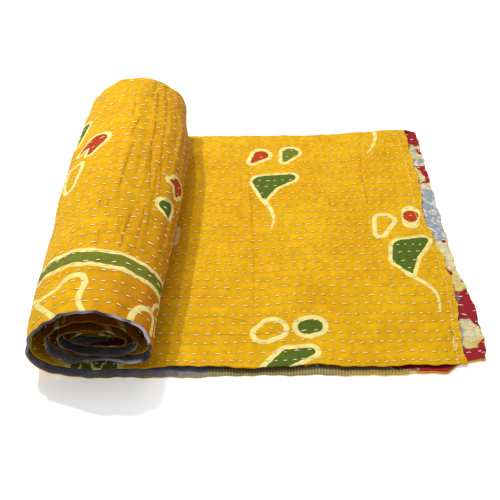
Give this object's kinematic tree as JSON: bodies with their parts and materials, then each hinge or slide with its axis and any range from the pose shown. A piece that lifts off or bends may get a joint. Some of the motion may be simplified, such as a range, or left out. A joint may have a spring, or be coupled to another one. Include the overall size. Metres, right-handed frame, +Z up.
{
  "type": "folded and rolled quilt",
  "caption": "Thin hand-stitched cotton quilt, folded in half lengthwise and loosely rolled from one end, the other end left lying flat",
  "frame": {"origin": "middle of the folded quilt's footprint, on the surface it lies on", "axes": "+Z up, the roll's axis along Y with its open hems at -Y, the flat end towards +X"},
  "size_m": [0.8072, 0.765, 0.1699],
  "materials": {
    "face_cloth": "matt printed cotton, quilted",
    "backing_cloth": "matt printed cotton, quilted"
  },
  "bodies": {
    "root": {"quilt_face": "face_cloth", "quilt_backing": "backing_cloth"}
  },
  "joints": []
}
